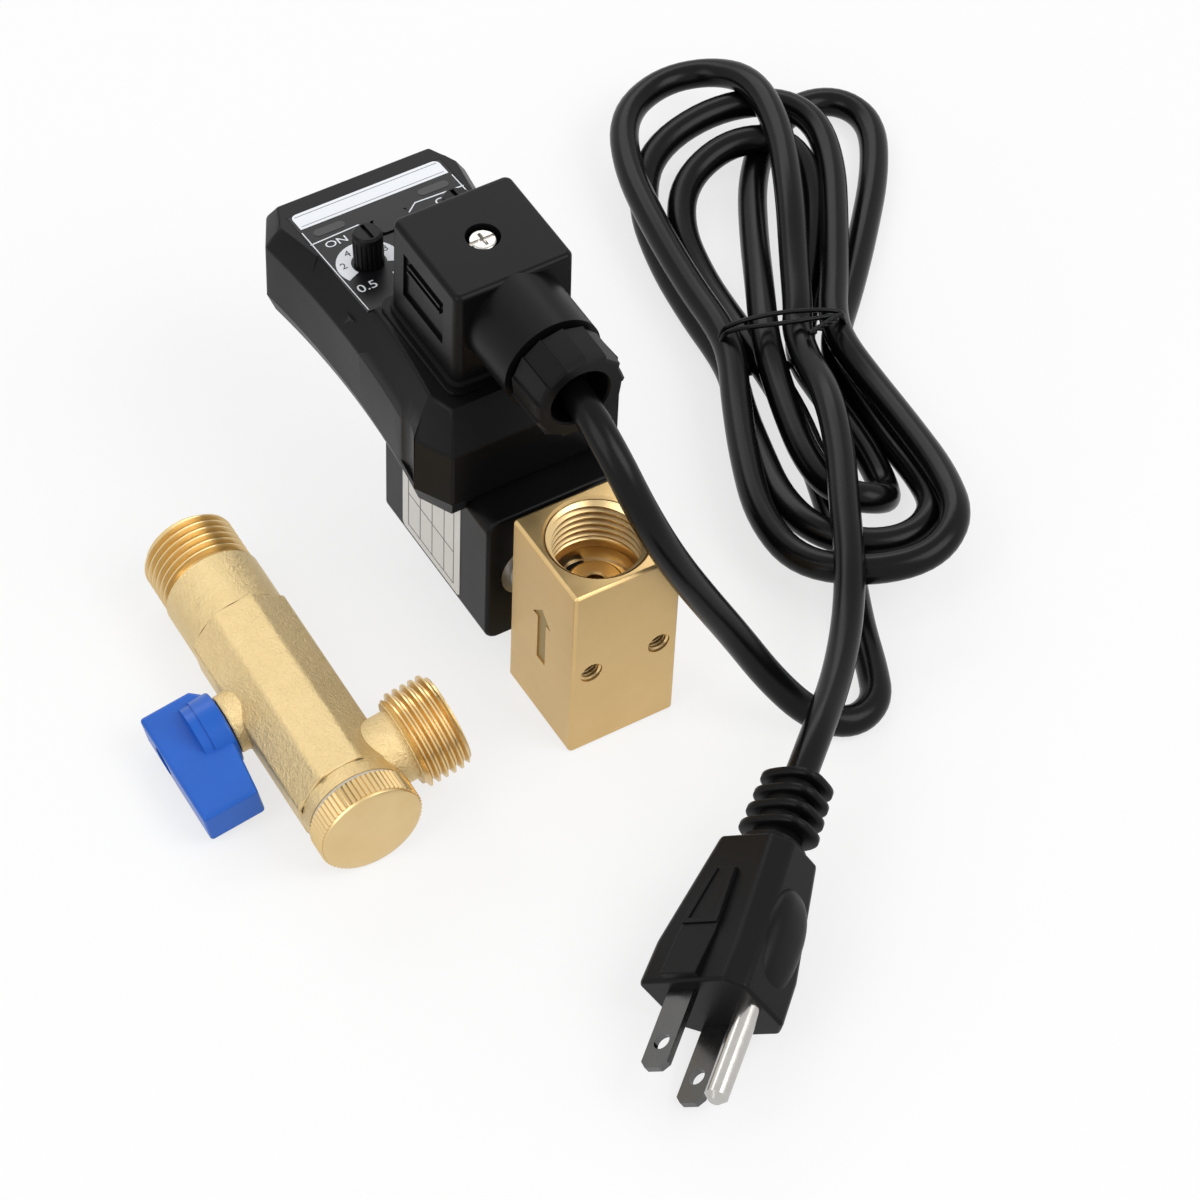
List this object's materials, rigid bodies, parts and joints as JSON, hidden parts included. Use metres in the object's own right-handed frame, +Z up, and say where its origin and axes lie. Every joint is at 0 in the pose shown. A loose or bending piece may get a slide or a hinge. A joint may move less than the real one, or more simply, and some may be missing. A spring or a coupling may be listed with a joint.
{
  "type": "automatic drain valve",
  "caption": "Timed automatic drain valve: brass block with solenoid coil, plug-on timer, mains connector with cord and plug, and a strainer ball valve.",
  "frame": {"origin": "middle of the inlet port on the brass block's bottom face", "axes": "+X to the right along the block's front face, +Y from the block towards the coil and the timer's display end, +Z up along the flow"},
  "size_m": [0.2309, 0.2466, 0.0924],
  "materials": {
    "brass": "machined satin",
    "cast_brass": "blasted matt",
    "steel": "turned",
    "nickel": "plated",
    "copper": "enamelled copper wire",
    "black_plastic": "fine matt",
    "gloss_black": "glossy",
    "label": "printed",
    "rubber": "matt",
    "pvc": "satin PVC",
    "board": "solder resist",
    "lamp": "clear tinted",
    "blue_plastic": "satin gloss",
    "ptfe": "white",
    "fibre": "fibre"
  },
  "bodies": {
    "valve": {"valve_body": "brass", "operator_tube": "steel", "tube_seal": "rubber", "fixed_core": "steel", "coil_housing": "black_plastic", "coil_yokes": "steel", "coil_bobbin": "ptfe", "coil_winding": "copper", "coil_terminals": "nickel", "coil_washer": "nickel", "coil_nut": "nickel", "controller_base": "black_plastic", "controller_cover": "black_plastic", "face_label": "label", "circuit_board": "board", "board_components": "gloss_black", "potentiometers": "gloss_black", "test_switch": "gloss_black", "status_lamps": "lamp", "controller_screws": "nickel", "controller_pins": "nickel", "connector_gasket": "rubber", "connector_housing": "black_plastic", "connector_insert": "black_plastic", "connector_screw": "nickel", "gland_nut": "black_plastic", "gland_washer": "black_plastic", "gland_seal": "rubber", "cord_lead": "pvc", "cord_hank": "pvc", "cord_tail": "pvc", "twist_tie": "gloss_black", "plug_body": "pvc", "plug_blades": "nickel", "plug_earth_pin": "nickel"},
    "plunger": {"plunger": "steel", "plunger_seal": "rubber", "plunger_spring": "steel"},
    "on_time_knob": {"on_time_knob": "black_plastic"},
    "off_time_knob": {"off_time_knob": "black_plastic"},
    "test_button": {"test_button": "black_plastic"},
    "strainer": {"strainer_body": "cast_brass", "strainer_cap": "brass", "cap_gasket": "fibre", "strainer_screen": "steel", "ball_seats": "ptfe", "seat_retainer": "brass", "stem_seals": "rubber"},
    "handle": {"strainer_handle": "blue_plastic", "handle_screw": "nickel", "valve_stem": "brass", "shutoff_ball": "nickel"}
  },
  "joints": [
    {"name": "plunger_lift", "type": "slide", "parent": "valve", "child": "plunger", "axis": [0, 1, 0], "range_m": [0, 0.002], "stiffness_N_per_m": 400, "springref_m": -0.003, "deforming": ["plunger_spring"]},
    {"name": "on_time_turn", "type": "hinge", "parent": "valve", "child": "on_time_knob", "pos_m": [-0.0106, 0.0749, 0.06559], "axis": [0, 0.1007, 0.9949], "range_deg": [-135, 135]},
    {"name": "off_time_turn", "type": "hinge", "parent": "valve", "child": "off_time_knob", "pos_m": [0.0106, 0.0749, 0.06559], "axis": [0, 0.1007, 0.9949], "range_deg": [-135, 135]},
    {"name": "test_press", "type": "slide", "parent": "valve", "child": "test_button", "axis": [0, -0.1007, -0.9949], "range_m": [0, 0.0005], "stiffness_N_per_m": 800, "springref_m": -0.0008},
    {"name": "strainer_lift", "type": "slide", "parent": "valve", "child": "strainer", "axis": [0, 0, 1], "range_m": [0, 0.08]},
    {"name": "handle_turn", "type": "hinge", "parent": "strainer", "child": "handle", "pos_m": [-0.07346, 0.02242, 0.00876], "axis": [-0.9778, 0.0256, -0.2079], "range_deg": [0, 90]}
  ]
}
